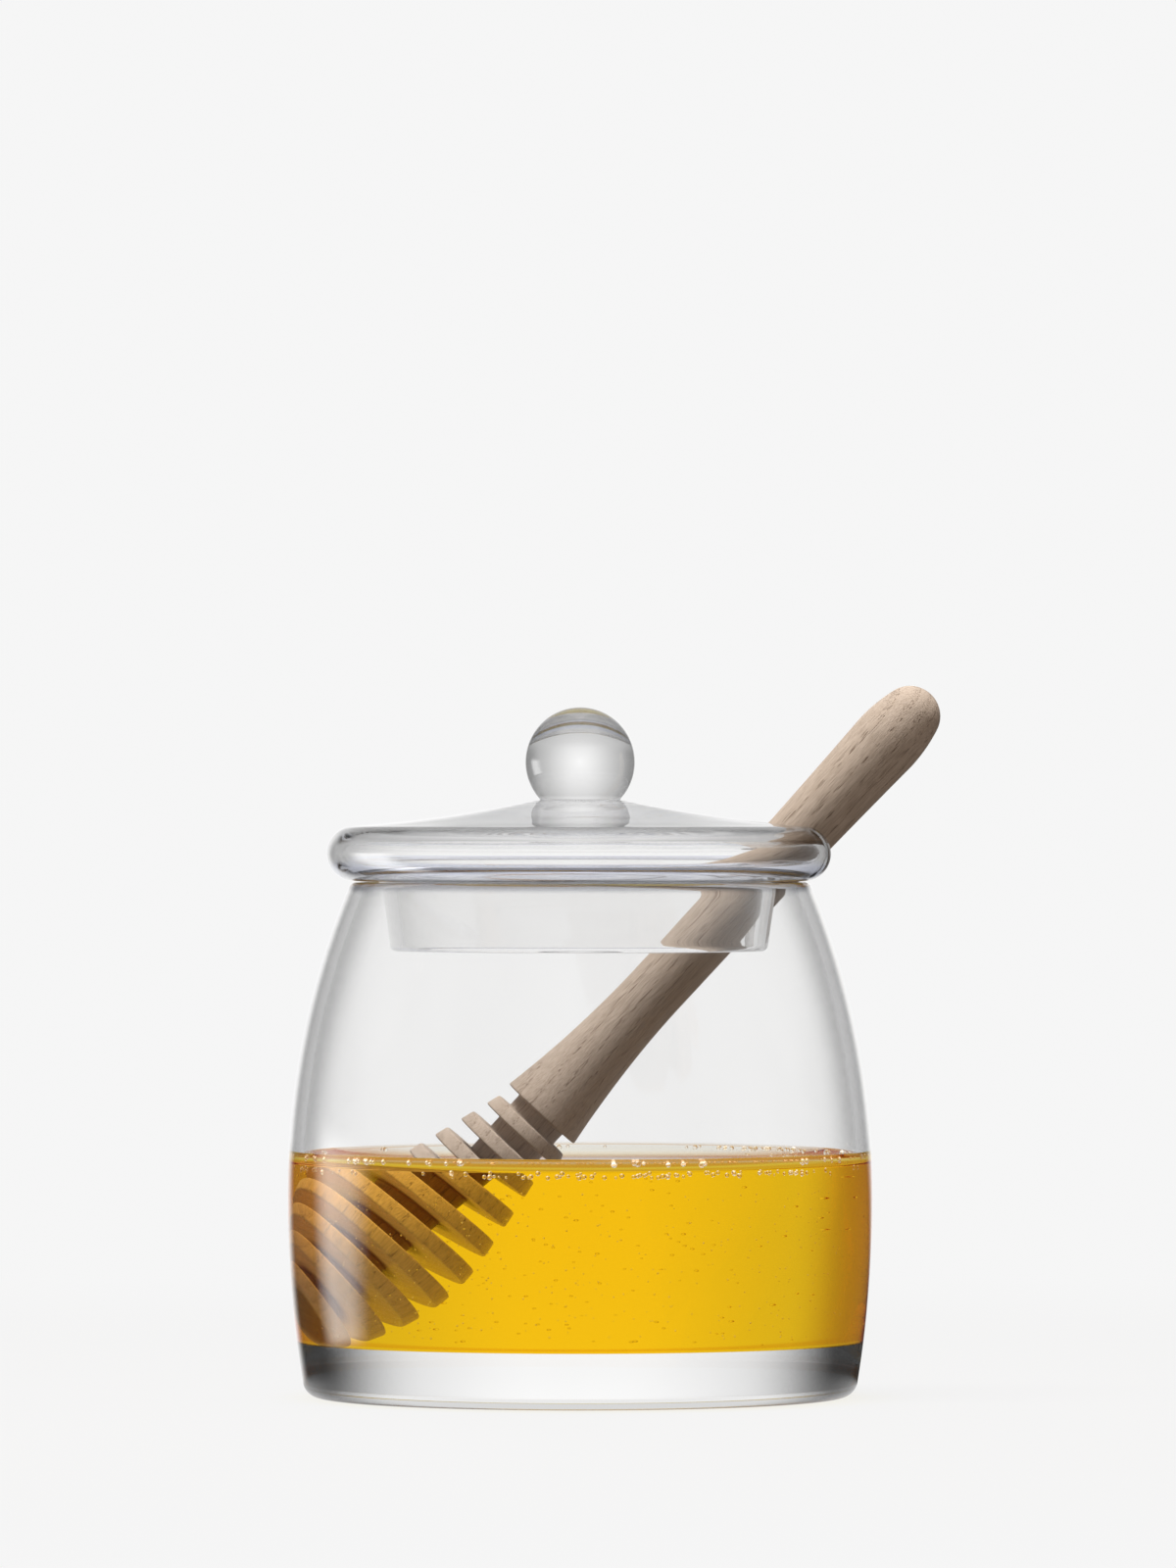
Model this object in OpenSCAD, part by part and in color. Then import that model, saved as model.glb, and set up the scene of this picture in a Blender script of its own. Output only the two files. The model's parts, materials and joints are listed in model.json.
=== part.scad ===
// Honey pot: a blown glass pot of honey, its hollow glass lid with a ball knob,
// and a turned wooden dipper that leans out through a notch in the lid.
// Millimetres, +Z up. The origin is the middle of the flat foot, on the table,
// and the dipper leans towards +X.

/* [Pot] */
// Widest outside diameter
pot_d = 100.2; // [97:0.2:120]
// Height from the table to the top of the rim
pot_h = 88.2; // [80:0.2:110]
// Height of the widest point
belly_z = 34.5; // [26:0.5:42]
// Outside diameter at the rim
mouth_d = 79.4; // [74:0.2:90]
// Outside diameter that the wall would have at the table
foot_d = 94.2; // [86:0.2:98]
// Glass thickness of the wall
pot_wall = 2.4; // [1.8:0.1:3.4]
// Glass thickness of the solid base
base_t = 9.7; // [5:0.1:14]
// Rounding of the foot's outside corner
foot_round = 3; // [1:0.1:6]
// Rounding inside, where the floor meets the wall
floor_round = 1.8; // [0.6:0.1:5]

/* [Honey] */
// Depth of the honey over the floor of the pot
honey_depth = 31.6; // [12:0.2:40]

/* [Lid] */
// How far the lid's rim stands out past the pot's rim
lid_overhang = 3.7; // [2:0.1:8]
// Height of the lid's rounded rim
lid_rim_h = 9.4; // [7.6:0.1:14]
// Glass thickness of the lid
lid_wall = 2.4; // [1.8:0.1:3.2]
// Rise of the dome from the rim to the knob's seat
lid_rise = 4.4; // [3:0.1:9]
// Slope of the dome where it leaves the rim, in degrees
dome_slope = 4; // [1:0.5:5]
// Rise of the hollow's ceiling from its edge to its middle
ceiling_rise = 1.4; // [0.4:0.1:3]
// How far the plug reaches below the lid's rim
plug_depth = 12.2; // [8:0.2:20]
// How much the plug's radius shrinks on the way down
plug_taper = 1.6; // [0:0.1:3]
// Rounding where the plug meets the rim's underside
plug_round = 1.5; // [0.5:0.1:3]
// Rounding of the notch's inner corners
notch_round = 3; // [1:0.1:4]
// How far the notch runs in past the plug's wall
notch_land = 2.3; // [1.5:0.1:5]

/* [Knob] */
// Diameter of the glass ball
knob_d = 18.8; // [15:0.2:26]
// Diameter of the ball's flat foot on the lid
knob_foot_d = 13.5; // [8:0.1:14.4]
// Width of the flat seat left round the knob's foot
knob_land = 0.8; // [0.3:0.1:3]

/* [Dipper] */
// Length of the handle from its collar to its rounded end
handle_l = 98.2; // [85:0.1:130]
// Diameter of the collar, the handle's flared lower end
collar_d = 15.1; // [13:0.1:17]
// Smallest diameter of the handle
waist_d = 10.1; // [8:0.1:11]
// Distance from the collar to the waist
waist_at = 30; // [20:0.5:40]
// Largest diameter of the handle's grip
grip_d = 12.1; // [11:0.1:14]
// Radius of the grip's swell, seen from the side
grip_round = 28; // [20:0.5:60]
// Diameter of the ball that the handle's end is rounded to
end_d = 10.4; // [7:0.1:10.8]
// Largest diameter of the grooved head
head_d = 27.3; // [25:0.1:32]
// Radius of the head's swell, seen from the side
head_round = 28; // [22:0.5:40]
// Slope of the head's cone towards the collar, in degrees
head_flank = 16; // [8:0.5:18]
// Distance from the head's tip up to its widest point
head_wide_at = 17; // [9:0.5:19]
// Number of discs on the head
disc_n = 9; // [6:1:9]
// Thickness of a disc
disc_t = 2.5; // [1.5:0.05:2.8]
// Groove between two discs
disc_gap = 2.5; // [1.4:0.05:2.6]
// Diameter of the core that carries the discs
core_d = 10; // [7:0.1:11]

/* [Fits] */
// Gap between the pot's rim and the lid that rests on it
lid_gap = 0.2; // [0.05:0.05:0.6]
// Gap between the plug and the pot's mouth, all round
plug_gap = 3.3; // [1.5:0.1:6]
// Gap between the dipper and the glass that it rests on
dipper_gap = 0.3; // [0.1:0.05:0.6]
// Gap between the dipper's head and the wall of the pot beside it
head_gap = 4.2; // [0.6:0.1:8]
// Gap between the grip and each side of the notch
notch_gap = 0.95; // [0.5:0.05:3]
// Gap between the honey and the dipper that stands in it
honey_gap = 0.2; // [0.1:0.05:0.3]

/* [Hidden] */
$fn = 96;
// How far a cutting shape runs past what it cuts
past = 5;

// Points on an arc about c, in n steps, without its first point if open is 1
function arc(c, r, a0, a1, n = 16, open = 0) =
    [for (i = [open : n]) let (a = a0 + (a1 - a0) * i / n) c + r * [cos(a), sin(a)]];
// Radius of an arc that starts straight and bends aside by d over a run of h
function bow(h, d) = (h * h + d * d) / (2 * d);
// Unit vector at an angle
function dir(a) = [cos(a), sin(a)];

// Pot: two bowed stretches of wall that meet at the belly, and a fully round rim
pot_r = pot_d / 2;
rim_r = pot_wall / 2;
rim_z = pot_h - rim_r;
upper_r = bow(rim_z - belly_z, (pot_d - mouth_d) / 2);
upper_c = [pot_r - upper_r, belly_z];
rim_a = asin((rim_z - belly_z) / (upper_r - rim_r));
rim_c = upper_c + (upper_r - rim_r) * dir(rim_a);
lower_r = bow(belly_z, (pot_d - foot_d) / 2);
lower_c = [pot_r - lower_r, belly_z];
foot_a = -asin((belly_z - foot_round) / (lower_r - foot_round));
foot_c = lower_c + (lower_r - foot_round) * dir(foot_a);
floor_r = lower_r - pot_wall - floor_round;
floor_a = -asin((belly_z - base_t - floor_round) / floor_r);
floor_c = lower_c + floor_r * dir(floor_a);
outside = concat(
    [[0, 0]],
    arc(foot_c, foot_round, -90, foot_a, 8),
    arc(lower_c, lower_r, foot_a, 0, open = 1),
    arc(upper_c, upper_r, 0, rim_a, open = 1),
    arc(rim_c, rim_r, rim_a, rim_a + 180, 12, open = 1)
);
inside = concat(
    arc(upper_c, upper_r - pot_wall, rim_a, 0, open = 1),
    arc(lower_c, lower_r - pot_wall, 0, floor_a, open = 1),
    arc(floor_c, floor_round, floor_a, -90, 8, open = 1),
    [[0, base_t]]
);
honey_z = base_t + honey_depth;

// Lid: a rounded hollow rim, a dome that sweeps up to the knob and a plug below
lid_z = pot_h + lid_gap;
bead_r = lid_rim_h / 2;
bead_c = [mouth_d / 2 + lid_overhang - bead_r, lid_z + bead_r];
hollow_r = bead_r - lid_wall;
seat_z = lid_z + lid_rim_h + lid_rise;
seat_r = knob_foot_d / 2 + knob_land;
dome_dir = dir(90 - dome_slope);
dome_edge = bead_c + bead_r * dome_dir;
dome_run = [seat_r, seat_z] - dome_edge;
dome_r = (dome_run * dome_run) / (2 * dome_run * dome_dir);
dome_c = dome_edge + dome_r * dome_dir;
dome_a = atan2(seat_z - dome_c[1], seat_r - dome_c[0]);
ceiling_z = bead_c[1] + hollow_r + ceiling_rise;
ceiling_r = bow(bead_c[0], ceiling_rise) + hollow_r;
ceiling_c = [0, ceiling_z - ceiling_r];
ceiling_a = atan2(bead_c[1] - ceiling_c[1], bead_c[0]);
plug_r = rim_c[0] - rim_r - plug_gap;
plug_a = atan(plug_taper / plug_depth);
plug_c = [plug_r + plug_round * cos(plug_a), lid_z - plug_round];
plug_top = plug_c + (plug_round + lid_wall / 2) * dir(180 - plug_a);
plug_end_z = lid_z - plug_depth + lid_wall / 2;
plug_end_x = plug_top[0] - (plug_top[1] - plug_end_z) * tan(plug_a);
plug_end = [plug_end_x, plug_end_z];
knob_r = knob_d / 2;
knob_z = seat_z + sqrt(knob_r * knob_r - pow(knob_foot_d / 2, 2));

// Dipper: distances t run along its axis from the collar, up the handle
collar_r = collar_d / 2;
waist_r = waist_d / 2;
grip_r = grip_d / 2;
end_r = end_d / 2;
core_r = core_d / 2;
end_run = sqrt(pow(grip_round - end_r, 2) - pow(grip_round - grip_r, 2));
end_at = handle_l - end_r;
grip_at = end_at - end_run;
flare_r = bow(waist_at, collar_r - waist_r);
shaft_r = bow(grip_at - waist_at, grip_r - waist_r);
disc_pitch = disc_t + disc_gap;
head_l = disc_n * disc_pitch;
cone_at = head_round * sin(head_flank);
cone_r = head_d / 2 - head_round * (1 - cos(head_flank));
// Radius of the head's swell at t: round about its widest point, then a cone
function head_r(t) = let (up = t + head_l - head_wide_at)
    up < cone_at
    ? head_d / 2 - head_round + sqrt(head_round * head_round - up * up)
    : cone_r - (up - cone_at) * tan(head_flank);
// Radius of the handle above its waist at t
function shaft(t) = waist_r + shaft_r - sqrt(shaft_r * shaft_r - pow(t - waist_at, 2));

// The dipper stands on the pot's floor and leans on its rim, with its head off the wall
disc_low = [for (k = [0 : disc_n - 1]) -head_l + k * disc_pitch];
// Place of the collar if the axis rises at an angle a
function collar_at(a) = let (
    u = dir(a),
    n = dir(a + 90),
    tip_drop = min([for (t = disc_low) t * u[1] - head_r(t) * n[1]]),
    z = base_t + dipper_gap - tip_drop,
    rim_x = rim_c[0] + ((z - rim_c[1]) * n[1] - rim_r - dipper_gap) / u[1],
    rim_t = (rim_c - [rim_x - grip_r / u[1], z]) * u
) [rim_x - shaft(rim_t) / u[1], z];
// Gap between the head and the wall beside it if the axis rises at an angle a
function side_gap(a) = let (c = collar_at(a)) min([
    for (t = disc_low, s = [t, t + disc_t])
        let (edge = c + s * dir(a) + head_r(s) * dir(a + 90))
            lower_r - pot_wall - norm(edge - [-lower_c[0], belly_z])
]);
// Angle at which that gap is head_gap, found by halving a range of angles n times
function lean(low, high, n) = let (a = (low + high) / 2)
    n == 0 ? a : side_gap(a) < head_gap ? lean(a, high, n - 1) : lean(low, a, n - 1);
lean_low = 30;
lean_high = 80;
halvings = 40;
dipper_lean = lean(lean_low, lean_high, halvings);
collar = collar_at(dipper_lean);

// Notch: as wide as the grip needs, from inside the plug out through the rim
notch_w = grip_d + 2 * notch_gap;
over_x = collar[0] + (seat_z - collar[1]) / tan(dipper_lean) - grip_r / sin(dipper_lean);
notch_x = min(plug_end[0] - lid_wall / 2 - notch_land, over_x - notch_gap);
notch_out = bead_c[0] + bead_r + past;

// The dipper's solid in its own axis, grown by g all over
module dipper_form(g = 0) {
    discs = [for (t = disc_low) each [
        [core_r + g, t - g],
        [head_r(t) + g, t - g],
        [head_r(t + disc_t) + g, t + disc_t + g],
        [core_r + g, t + disc_t + g]
    ]];
    flare_a = asin(waist_at / flare_r);
    shaft_a = asin((grip_at - waist_at) / shaft_r);
    end_a = asin(end_run / (grip_round - end_r));
    rotate_extrude()
        polygon(concat(
            [[0, -head_l - g]],
            [for (i = [1 : len(discs) - 1]) discs[i]],
            [[core_r + g, -g], [collar_r + g, -g]],
            arc([waist_r + flare_r, waist_at], flare_r - g, 180 + flare_a, 180, open = 1),
            arc([waist_r + shaft_r, waist_at], shaft_r - g, 180, 180 - shaft_a, open = 1),
            arc([grip_r - grip_round, grip_at], grip_round + g, 0, end_a, 8, open = 1),
            arc([0, end_at], end_r + g, end_a, 90, 12, open = 1)
        ));
}

// The dipper's solid where it leans in the pot
module dipper_placed(g = 0) {
    translate([collar[0], 0, collar[1]])
        rotate([0, 90 - dipper_lean, 0])
            dipper_form(g);
}

// Glass pot with a thick flat base
module pot() {
    color([0.86, 0.9, 0.92, 0.4])
        rotate_extrude()
            polygon(concat(outside, inside));
}

// Honey that fills the pot up to its level, shaped round the dipper
module honey() {
    color([0.93, 0.66, 0.08, 0.8])
        difference() {
            rotate_extrude()
                intersection() {
                    polygon(concat([[0, rim_c[1]]], inside));
                    square([pot_r, honey_z]);
                }
            dipper_placed(honey_gap);
        }
}

// Hollow glass lid with its plug, and the notch for the dipper
module lid() {
    color([0.84, 0.88, 0.9, 0.4])
        difference() {
            rotate_extrude()
                polygon(concat(
                    [[0, seat_z], [seat_r, seat_z]],
                    arc(dome_c, dome_r, dome_a, -90 - dome_slope, open = 1),
                    arc(bead_c, bead_r, 90 - dome_slope, -90, 20, open = 1),
                    arc(plug_c, plug_round, 90, 180 - plug_a, 8),
                    arc(plug_end, lid_wall / 2, -plug_a, -180 - plug_a, 12),
                    arc(plug_c, plug_round + lid_wall, 180 - plug_a, 90, 8),
                    arc(bead_c, hollow_r, -90, ceiling_a, 16),
                    arc(ceiling_c, ceiling_r, ceiling_a, 90, open = 1)
                ));
            notch();
        }
}

// The notch's cutting shape, open at the rim
module notch() {
    side = notch_w / 2 - notch_round;
    corner_x = notch_x + notch_round;
    translate([0, 0, lid_z - plug_depth - past])
        linear_extrude(plug_depth + lid_rim_h + lid_rise + 2 * past)
            polygon(concat(
                arc([corner_x, side], notch_round, 90, 180, 8),
                arc([corner_x, -side], notch_round, 180, 270, 8),
                [[notch_out, -notch_w / 2], [notch_out, notch_w / 2]]
            ));
}

// Solid glass ball that was set hot on the lid's seat
module lid_knob() {
    color([0.8, 0.84, 0.86, 0.5])
        difference() {
            translate([0, 0, knob_z])
                sphere(knob_r);
            translate([0, 0, seat_z - knob_d])
                cylinder(h = knob_d, r = knob_d);
        }
}

// Dipper turned from one stick of oak
module dipper() {
    color([0.74, 0.62, 0.47])
        dipper_placed();
}

pot();
honey();
lid();
lid_knob();
dipper();
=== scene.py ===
# %% [markdown]
# # A glass honey pot with a wooden dipper
#
# The pot is blown glass with a thick base, filled with honey to about a third. A hollow glass lid
# with a ball knob sits on the rim, and a turned oak dipper leans out through a notch in the lid.
# The exact solids come from the packed model and stay the frame of this scene: they say where
# everything is and how it moves. This script makes the same pieces again as fine surfaces and
# gives them their materials.

# %% Load the frame
import json

import bmesh
import bpy
import numpy as np
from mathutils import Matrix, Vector


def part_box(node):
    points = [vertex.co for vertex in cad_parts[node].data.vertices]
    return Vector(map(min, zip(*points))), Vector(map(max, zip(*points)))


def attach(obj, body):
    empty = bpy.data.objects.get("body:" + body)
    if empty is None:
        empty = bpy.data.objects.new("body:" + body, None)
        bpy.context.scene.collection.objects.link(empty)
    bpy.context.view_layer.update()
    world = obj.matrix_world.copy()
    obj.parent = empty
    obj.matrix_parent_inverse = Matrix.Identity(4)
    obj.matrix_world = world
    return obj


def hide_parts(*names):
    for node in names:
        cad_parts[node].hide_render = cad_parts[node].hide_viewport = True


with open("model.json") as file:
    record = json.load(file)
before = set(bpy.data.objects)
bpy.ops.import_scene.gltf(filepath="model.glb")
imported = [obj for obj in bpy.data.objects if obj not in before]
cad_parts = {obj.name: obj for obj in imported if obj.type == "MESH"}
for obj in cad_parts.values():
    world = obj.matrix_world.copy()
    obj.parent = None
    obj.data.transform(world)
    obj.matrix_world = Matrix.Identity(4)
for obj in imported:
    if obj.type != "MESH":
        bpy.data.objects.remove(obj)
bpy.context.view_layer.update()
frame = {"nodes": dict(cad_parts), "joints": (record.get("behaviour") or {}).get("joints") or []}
MM = 0.001
print("nodes:", sorted(frame["nodes"]))

# %% [markdown]
# ## The camera
# The photo was taken from far away with a long lens, level with the lid, because the rim and the
# honey show almost as straight lines. A camera two metres away with a 268 mm lens gives the same
# picture. It stands a little to the right of the pot's axis, as the pot is a little left of the
# middle of the picture.

# %% Camera
CAMERA_AT = (0.00135, -2.0, 0.105)
LENS_MM = 267.9

scene = bpy.context.scene
camera_data = bpy.data.cameras.new("camera")
camera_data.lens = LENS_MM
camera = bpy.data.objects.new("camera", camera_data)
camera.location = CAMERA_AT
camera.rotation_euler = (np.pi / 2, 0, 0)
scene.collection.objects.link(camera)
scene.camera = camera
print("camera at", CAMERA_AT, "with a lens of", LENS_MM, "mm")

# %% [markdown]
# ## Profiles
# Blown glass and turned wood are both shaped while they spin, so each piece here is a profile that
# goes round an axis. A profile is a list of points, radius and height, and most of it is arcs. A
# drawn curve could hold it too, but arrays keep the exact sizes of the solids.


# %% Arcs and lines
def arc(centre, radius, start, end, count=24):
    """Points on a circle about the centre, at angles in degrees from start to end in equal steps."""
    a = np.radians(np.linspace(start, end, count))
    return np.array(centre) + radius * np.stack([np.cos(a), np.sin(a)], axis=1)


def line(start, end, count):
    """Points on a straight line from start to end in equal steps."""
    return np.linspace(start, end, count)


def direction(angle):
    """Unit vector at an angle in degrees."""
    return np.array([np.cos(np.radians(angle)), np.sin(np.radians(angle))])


def bow(run, aside):
    """Radius of an arc that starts straight and bends aside by that much over the run."""
    return (run * run + aside * aside) / (2 * aside)


print("an arc that bends aside by 10 over a run of 50 has a radius of", bow(50, 10))

# %% [markdown]
# ## Corners
# No edge of the real pieces is sharp: the flame rounds the glass and the turner breaks the edges of
# the wood. A Bevel modifier could do it, but a rounded profile costs fewer faces and turns evenly. A
# parabola bridges each corner, because it needs no search for the points where an arc would touch.

# %% Rounded corners and joined runs
MOST_OF_EDGE = 0.45
SAME_POINT = 0.0001 * MM


def rounded(points, cut, count=4):
    """Corners cut back along both edges and bridged by a parabola:
    (1-t)^2 A + 2t(1-t) P + t^2 B, from the cut A past the corner P to the cut B."""
    points = np.asarray(points, float)
    before, corner, after = points[:-2], points[1:-1], points[2:]
    back, ahead = before - corner, after - corner
    back_len = np.linalg.norm(back, axis=1, keepdims=True)
    ahead_len = np.linalg.norm(ahead, axis=1, keepdims=True)
    a = corner + back / back_len * np.minimum(cut, back_len * MOST_OF_EDGE)
    b = corner + ahead / ahead_len * np.minimum(cut, ahead_len * MOST_OF_EDGE)
    t = np.linspace(0, 1, count)[None, :, None]
    bridges = (1 - t) ** 2 * a[:, None] + 2 * t * (1 - t) * corner[:, None] + t**2 * b[:, None]
    return np.vstack([points[:1], bridges.reshape(-1, 2), points[-1:]])


def joined(*runs):
    """Runs of points one after another, without points that repeat."""
    points = np.vstack(runs)
    step = np.linalg.norm(np.diff(points, axis=0), axis=1)
    return points[np.concatenate([[True], step > SAME_POINT])]


print("a corner becomes", len(rounded([(0, 0), (1, 0), (1, 1)], 0.1)) - 2, "points")

# %% [markdown]
# ## Turned surfaces
# A turned surface is a grid: one way along the profile, the other way round the axis. The Screw
# modifier turns a profile as well. The grid is worked out here, because the rings of the lid have to
# start and end at the sides of its notch.


# %% Grids and turning
def grid_faces(rows, columns):
    """Four corner numbers of each cell of a grid of points that is rows by columns."""
    corner = np.arange(rows * columns).reshape(rows, columns)
    cells = [corner[:-1, :-1], corner[:-1, 1:], corner[1:, 1:], corner[1:, :-1]]
    return np.stack(cells, axis=-1).reshape(-1, 4)


def turned(profile, around=192, gap=None):
    """Grid of points (r cos a, r sin a, z): each profile point goes once round the Z axis. Where gap
    gives an angle for a radius, the turn starts that far after +X and ends that far before it."""
    r, z = profile[:, :1], profile[:, 1:]
    start = np.zeros_like(r) if gap is None else gap(r)
    a = start + np.linspace(0, 1, around + 1) * (2 * np.pi - 2 * start)
    xyz = np.stack([r * np.cos(a), r * np.sin(a), np.broadcast_to(z, a.shape)], axis=-1)
    return xyz.reshape(-1, 3), grid_faces(len(profile), around + 1)


print("a grid of 3 by 4 points has", len(grid_faces(3, 4)), "faces")

# %% [markdown]
# ## From points to a piece
# Every piece is made in the same few steps. The grid's first and last columns lie on each other, and
# so do all points of a ring at the axis, so doubles are merged to close seams and poles. Then the
# faces of a closed piece are turned outwards, and the piece is told which body carries it.

# %% Mesh pieces
SEAM = 0.001 * MM


def make_piece(name, points, faces, body, slot, closed=True, marks=None):
    """A mesh object at the origin with merged seams, outward faces and smooth shading.
    Each entry of marks becomes an attribute with one number for each point."""
    mesh = bpy.data.meshes.new(name)
    mesh.from_pydata(points.tolist(), [], faces.tolist())
    for mark, values in (marks or {}).items():
        mesh.attributes.new(mark, "FLOAT", "POINT").data.foreach_set("value", values)
    work = bmesh.new()
    work.from_mesh(mesh)
    bmesh.ops.remove_doubles(work, verts=work.verts, dist=SEAM)
    if closed:
        bmesh.ops.recalc_face_normals(work, faces=work.faces)
    work.to_mesh(mesh)
    work.free()
    mesh.shade_smooth()
    piece = bpy.data.objects.new(name, mesh)
    scene.collection.objects.link(piece)
    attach(piece, body)
    print(name, len(mesh.vertices), "points,", len(mesh.polygons), "faces")
    return piece


# %% [markdown]
# ## Writing shaders as arithmetic
# A material is a graph of small nodes, which could be placed and linked one by one. One class wraps
# an output socket, so that sums of sockets can be written like ordinary numbers, from either side.
# Its `node` method adds any other node.


# %% Shader arithmetic
def operator_pair(operation):
    """An operator and its reflected form. Each adds one Math node."""
    def plain(wire, other):
        return wire.maths(operation, wire, other)

    def reflected(wire, other):
        return wire.maths(operation, other, wire)

    return plain, reflected


class Wire:
    """An output socket of a node tree. Arithmetic on it adds Math nodes."""

    __add__, __radd__ = operator_pair("ADD")
    __sub__, __rsub__ = operator_pair("SUBTRACT")
    __mul__, __rmul__ = operator_pair("MULTIPLY")
    __truediv__, __rtruediv__ = operator_pair("DIVIDE")
    __pow__, __rpow__ = operator_pair("POWER")

    def __init__(self, tree, socket=None):
        self.tree, self.socket = tree, socket

    def node(self, kind, settings=None, inputs=None, out=0):
        """Adds a node: its settings first, then a value or a link for each of its sockets."""
        made = self.tree.nodes.new(kind)
        for name, value in (settings or {}).items():
            setattr(made, name, value)
        for name, value in (inputs or {}).items():
            if isinstance(value, Wire):
                value.into(made.inputs[name])
            else:
                made.inputs[name].default_value = value
        return Wire(self.tree, made.outputs[out])

    def into(self, socket):
        """Links this output to an input socket."""
        self.tree.links.new(self.socket, socket)

    def maths(self, operation, first, second=0.0):
        """A Math node on two values."""
        return self.node("ShaderNodeMath", {"operation": operation}, {0: first, 1: second})

    def smooth(self, low, high):
        """0 below low, 1 above high and an S-shaped rise between."""
        settings = {"interpolation_type": "SMOOTHSTEP"}
        inputs = {"Value": self, "From Min": low, "From Max": high}
        return self.node("ShaderNodeMapRange", settings, inputs)

    def band(self, about, rise, full, fade, gone):
        """1 from full to fade, and 0 before rise and past gone: four millimetres from about."""
        rising = self.smooth(about + rise * MM, about + full * MM)
        return rising * (1 - self.smooth(about + fade * MM, about + gone * MM))

    def choose(self, off, on):
        """The off number where this is 0 and the on number where it is 1."""
        return self.node("ShaderNodeMix", {"data_type": "FLOAT"}, {0: self, 2: off, 3: on})

    def colour(self, low, high):
        """The low colour where this is 0 and the high colour where it is 1."""
        return self.node("ShaderNodeMix", {"data_type": "RGBA"}, {0: self, 6: low, 7: high}, 2)

    def tinted(self, tint):
        """This colour times a tint."""
        settings = {"data_type": "RGBA", "blend_type": "MULTIPLY"}
        return self.node("ShaderNodeMix", settings, {0: 1.0, 6: self, 7: tint}, 2)

    def vector(self, operation, other=(0, 0, 0), out="Vector"):
        """Vector Math on this vector and another. Lengths and dot products come out at Value."""
        settings = {"operation": operation}
        return self.node("ShaderNodeVectorMath", settings, {0: self, 1: other}, out)

    def times(self, factors):
        """This vector with each part times a factor."""
        return self.vector("MULTIPLY", factors)

    def length(self):
        """How long this vector is."""
        return self.vector("LENGTH", out="Value")

    def part(self, axis):
        """One part of this vector: X, Y or Z."""
        return self.node("ShaderNodeSeparateXYZ", {}, {0: self}, axis)

    def noise(self, scale, detail=2.0, rough=0.5):
        """Soft random values from 0 to 1 at this vector."""
        inputs = {"Vector": self, "Scale": scale, "Detail": detail, "Roughness": rough}
        return self.node("ShaderNodeTexNoise", {}, inputs)

    def bump(self, distance):
        """A normal that is tilted as if this height stood on the surface."""
        inputs = {"Height": self, "Distance": distance, "Strength": 1.0}
        return self.node("ShaderNodeBump", {}, inputs)


print("operators on wires:", [name for name in vars(Wire) if name.startswith("__r")])

# %% [markdown]
# ## Materials that lamps shine through
# A lamp's light that goes through glass makes caustics, which take very many samples. The glass and
# the honey here stand in light from all round, so no caustic is missed: lamps simply shine through.


# %% New materials
def new_material(name):
    """An empty material with its node tree, as a Wire to add nodes with, and its output node."""
    material = bpy.data.materials.new(name)
    material.use_nodes = True
    material.node_tree.nodes.clear()
    output = material.node_tree.nodes.new("ShaderNodeOutputMaterial")
    return material, Wire(material.node_tree), output


def clear_to_lamps(root, output, surface):
    """The surface as it is, except that lamps shine through it without bending."""
    shadow = root.node("ShaderNodeLightPath", out="Is Shadow Ray")
    through = root.node("ShaderNodeBsdfTransparent")
    mixed = root.node("ShaderNodeMixShader", {}, {0: shadow, 1: surface, 2: through})
    mixed.into(output.inputs["Surface"])


# %% [markdown]
# ## How slanted a surface is seen
# Thick glass looks darker where it is seen at a slant, because its edges gather the dark sides of the
# room. Dark boards round the scene could give that, but they would also darken the honey. So the grey
# is painted by the slant, which Layer Weight gives. The normal may be leaned up first, so that a look
# from above stays clear.


# %% Slant
def slant_of(root, lean=0.0):
    """0 where a surface is seen straight on and 1 where it is seen edge on, as 1 minus the cosine
    between the look and the normal plus lean times up."""
    normal = root.node("ShaderNodeNewGeometry", out="Normal").vector("ADD", (0, 0, lean))
    inputs = {"Blend": 0.5, "Normal": normal.vector("NORMALIZE")}
    return root.node("ShaderNodeLayerWeight", {}, inputs, "Facing")


def slanted(root, low, high, lean=0.0):
    """0 where the slant is under low, 1 where it is over high."""
    return slant_of(root, lean).smooth(low, high)


print("a surface seen at 60 degrees has a slant of", round(1 - direction(60)[0], 2))

# %% [markdown]
# ## Clear glass
# Blown glass is almost colourless and its surface is fire-polished, so there is no roughness to see.
# What gives it away as blown is that the wall isn't quite even: slow waves bend what shows through
# it. A bump with a long wavelength does that, and faint cords come and go, as in real glass. Thick
# edges are a little blue.

# %% Glass
GLASS_INDEX = 1.5
BLACK = (0, 0, 0, 1)
THICK_TINT = (0.5, 0.6, 1.0, 1)
CORD_GREY = 0.012


def clear_shader(root, index, tint, **inputs):
    """A polished clear surface that bends light by its index and colours it by the tint."""
    return root.node("ShaderNodeBsdfPrincipled", {}, {
        "Base Color": tint, "Roughness": 0.0, "IOR": index, "Transmission Weight": 1.0, **inputs})


def glass_material(name, wave_height, clear, greys):
    """Clear glass with waves and cords. The function greys gives two shares at each place: the painted
    shade, as light that is taken out, and how thick the glass is there. Light passes by the square of
    what is left."""
    material, root, output = new_material(name)
    place = root.node("ShaderNodeTexCoord", out="Object")
    cords = place.times((1, 1, 0.25)).noise(60.0).smooth(0.35, 0.7)
    waves = place.times((1, 1, 0.7)).noise(38.0, 1.0)
    # grey is painted shade for the dark edges of thick glass
    grey, thick = greys(place)
    light_left = 1 - grey
    passed = light_left * light_left * (1 - cords * CORD_GREY)
    tint = passed.colour(BLACK, thick.colour(clear, THICK_TINT))
    surface = clear_shader(root, GLASS_INDEX, tint, Normal=waves.bump(wave_height))
    clear_to_lamps(root, output, surface)
    return material


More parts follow.
